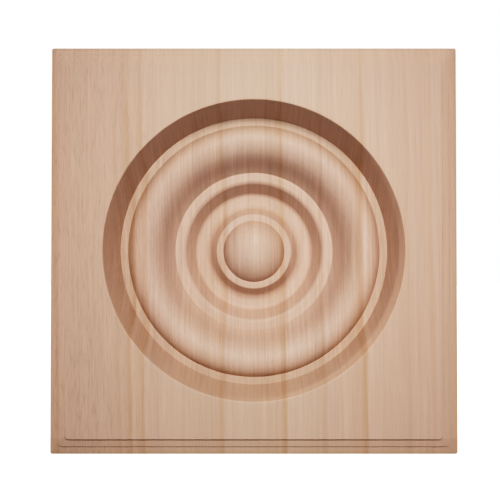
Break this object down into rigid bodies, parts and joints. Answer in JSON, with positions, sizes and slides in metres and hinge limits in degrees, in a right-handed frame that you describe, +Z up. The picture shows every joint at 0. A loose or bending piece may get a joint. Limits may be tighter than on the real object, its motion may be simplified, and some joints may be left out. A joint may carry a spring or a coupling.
{
  "type": "corner rosette block",
  "caption": "Square wooden corner block for door and window casing, with a turned bull's-eye sunk in its face and a stepped edge.",
  "frame": {"origin": "centre of the flat back, where the block meets the wall", "axes": "+Z up along the grain, as the block is fixed; +Y into the wall, out of the back; the face looks along -Y"},
  "size_m": [0.0888, 0.0254, 0.0888],
  "materials": {
    "hardwood": "bare, sanded, straight-grained light hardwood with the grain upright"
  },
  "bodies": {
    "root": {"corner_block": "hardwood"}
  },
  "joints": []
}
